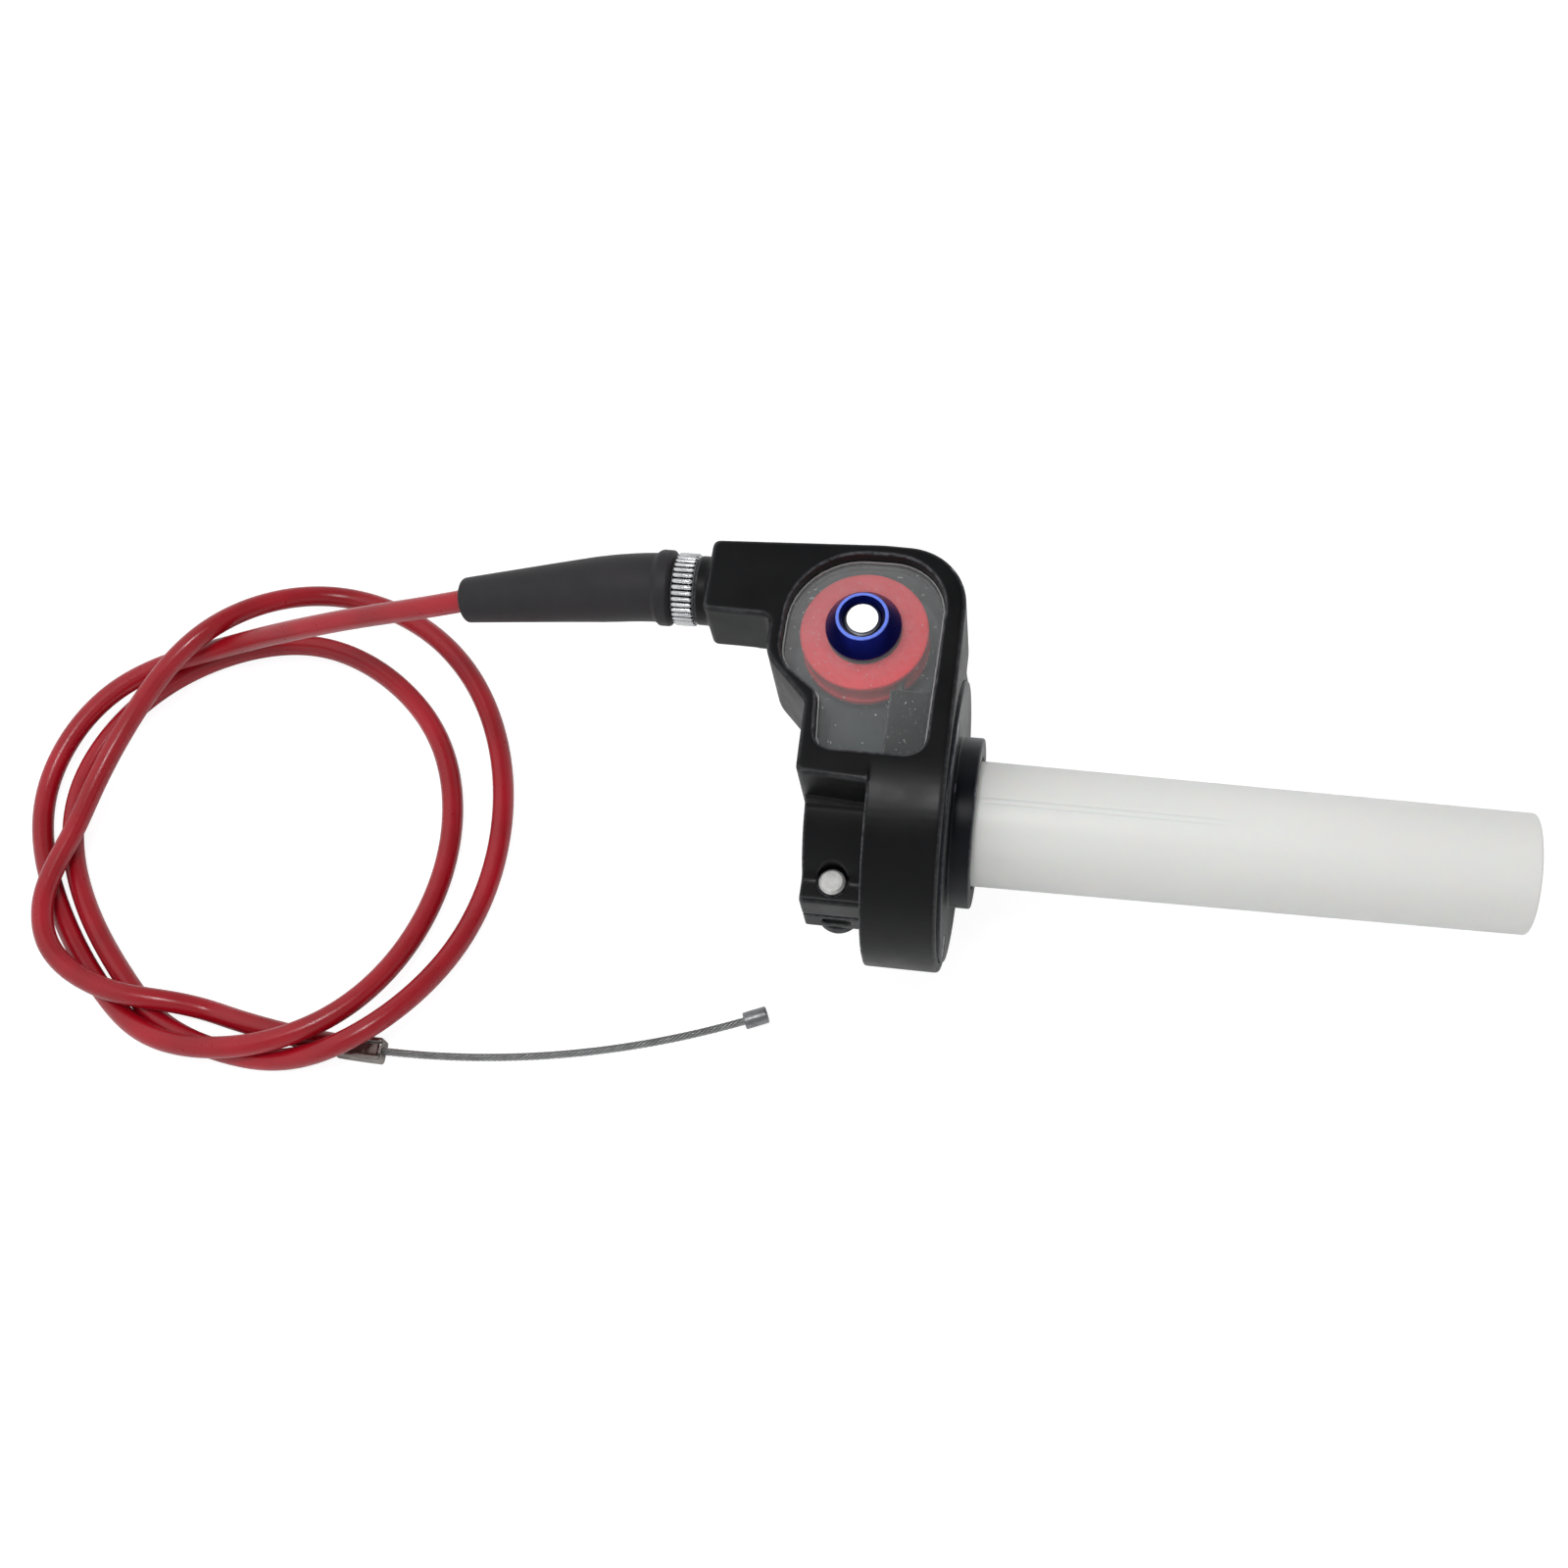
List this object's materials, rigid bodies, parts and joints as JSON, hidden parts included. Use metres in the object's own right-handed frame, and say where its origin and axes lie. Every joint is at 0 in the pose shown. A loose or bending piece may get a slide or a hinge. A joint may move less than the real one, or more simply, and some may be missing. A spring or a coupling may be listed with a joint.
{
  "type": "throttle grip",
  "caption": "Motorcycle quick-action twist throttle: bar clamp, cable drum housing with guide pulley behind a window, plain twist tube, adjuster and coiled Bowden cable.",
  "frame": {"origin": "on the handlebar axis, in the plane of the drum housing's clamp side", "axes": "+X along the bar to the open grip end, +Y forward to the pulley tower, +Z square to the window"},
  "size_m": [0.3586, 0.1291, 0.0703],
  "materials": {
    "housing_black": "satin black moulded case",
    "clear_window": "clear polycarbonate pane",
    "blue_anodised": "dark blue anodised, bright turned edge",
    "zinc_steel": "zinc-plated steel",
    "bronze_sleeve": "turned bronze bush",
    "red_pulley": "red moulded nylon",
    "white_nylon": "satin white nylon",
    "black_nylon": "black nylon",
    "steel_wire": "galvanised stranded steel wire",
    "chrome_knurl": "bright chrome, straight knurl",
    "black_rubber": "satin black rubber",
    "red_pvc": "dark red PVC sheath",
    "zinc_cast": "crimped zinc"
  },
  "bodies": {
    "housing": {"housing_body": "housing_black", "side_cover": "housing_black", "side_cover_screws": "zinc_steel", "window": "clear_window", "cone_nut": "blue_anodised", "pulley_axle_bolt": "zinc_steel", "pulley_sleeve": "bronze_sleeve", "pulley_washers": "white_nylon", "clamp_cap": "housing_black", "clamp_bolts": "zinc_steel", "tube_thrust_washer": "black_nylon", "inner_wire_run": "steel_wire"},
    "twist_tube": {"twist_tube": "white_nylon", "cable_drum": "black_nylon", "drum_nipple": "zinc_cast", "drum_wire_wrap": "steel_wire"},
    "pulley": {"pulley": "red_pulley"},
    "cable_outer": {"cable_jacket": "red_pvc", "cable_conduit": "steel_wire", "cable_liner": "black_nylon", "inner_wire_coil": "steel_wire", "throttle_end_ferrule": "zinc_steel", "cable_boot": "black_rubber", "carb_end_ferrule": "zinc_cast"},
    "adjuster": {"adjuster_barrel": "chrome_knurl"},
    "wire_tail": {"inner_wire_tail": "steel_wire", "carb_end_nipple": "zinc_cast"}
  },
  "joints": [
    {"name": "throttle_twist", "type": "hinge", "parent": "housing", "child": "twist_tube", "pos_m": [0, 0, 0], "axis": [1, 0, 0], "range_deg": [0, 70]},
    {"name": "pulley_spin", "type": "hinge", "parent": "housing", "child": "pulley", "pos_m": [-0.0055, 0.031, 0.025], "axis": [0, 0, 1], "range_deg": [-200, 0]},
    {"name": "wire_pull", "type": "hinge", "parent": "cable_outer", "child": "wire_tail", "pos_m": [-0.112, 0.156, -0.0313], "axis": [0, 0, -1], "range_deg": [0, 8.3]},
    {"name": "adjuster_turn", "type": "hinge", "parent": "cable_outer", "child": "adjuster", "pos_m": [-0.0463, 0.04, 0.025], "axis": [1, 0, 0], "range_deg": [0, 1441]},
    {"name": "adjuster_travel", "type": "slide", "parent": "housing", "child": "cable_outer", "axis": [-1, 0, 0], "range_m": [0, 0.005]}
  ],
  "couplings": [
    {"joint": "pulley_spin", "follows": "throttle_twist", "ratio": -2.7778},
    {"joint": "wire_pull", "follows": "throttle_twist", "ratio": 0.11628},
    {"joint": "adjuster_turn", "follows": "adjuster_travel", "rad_per_m": 5026.5}
  ]
}
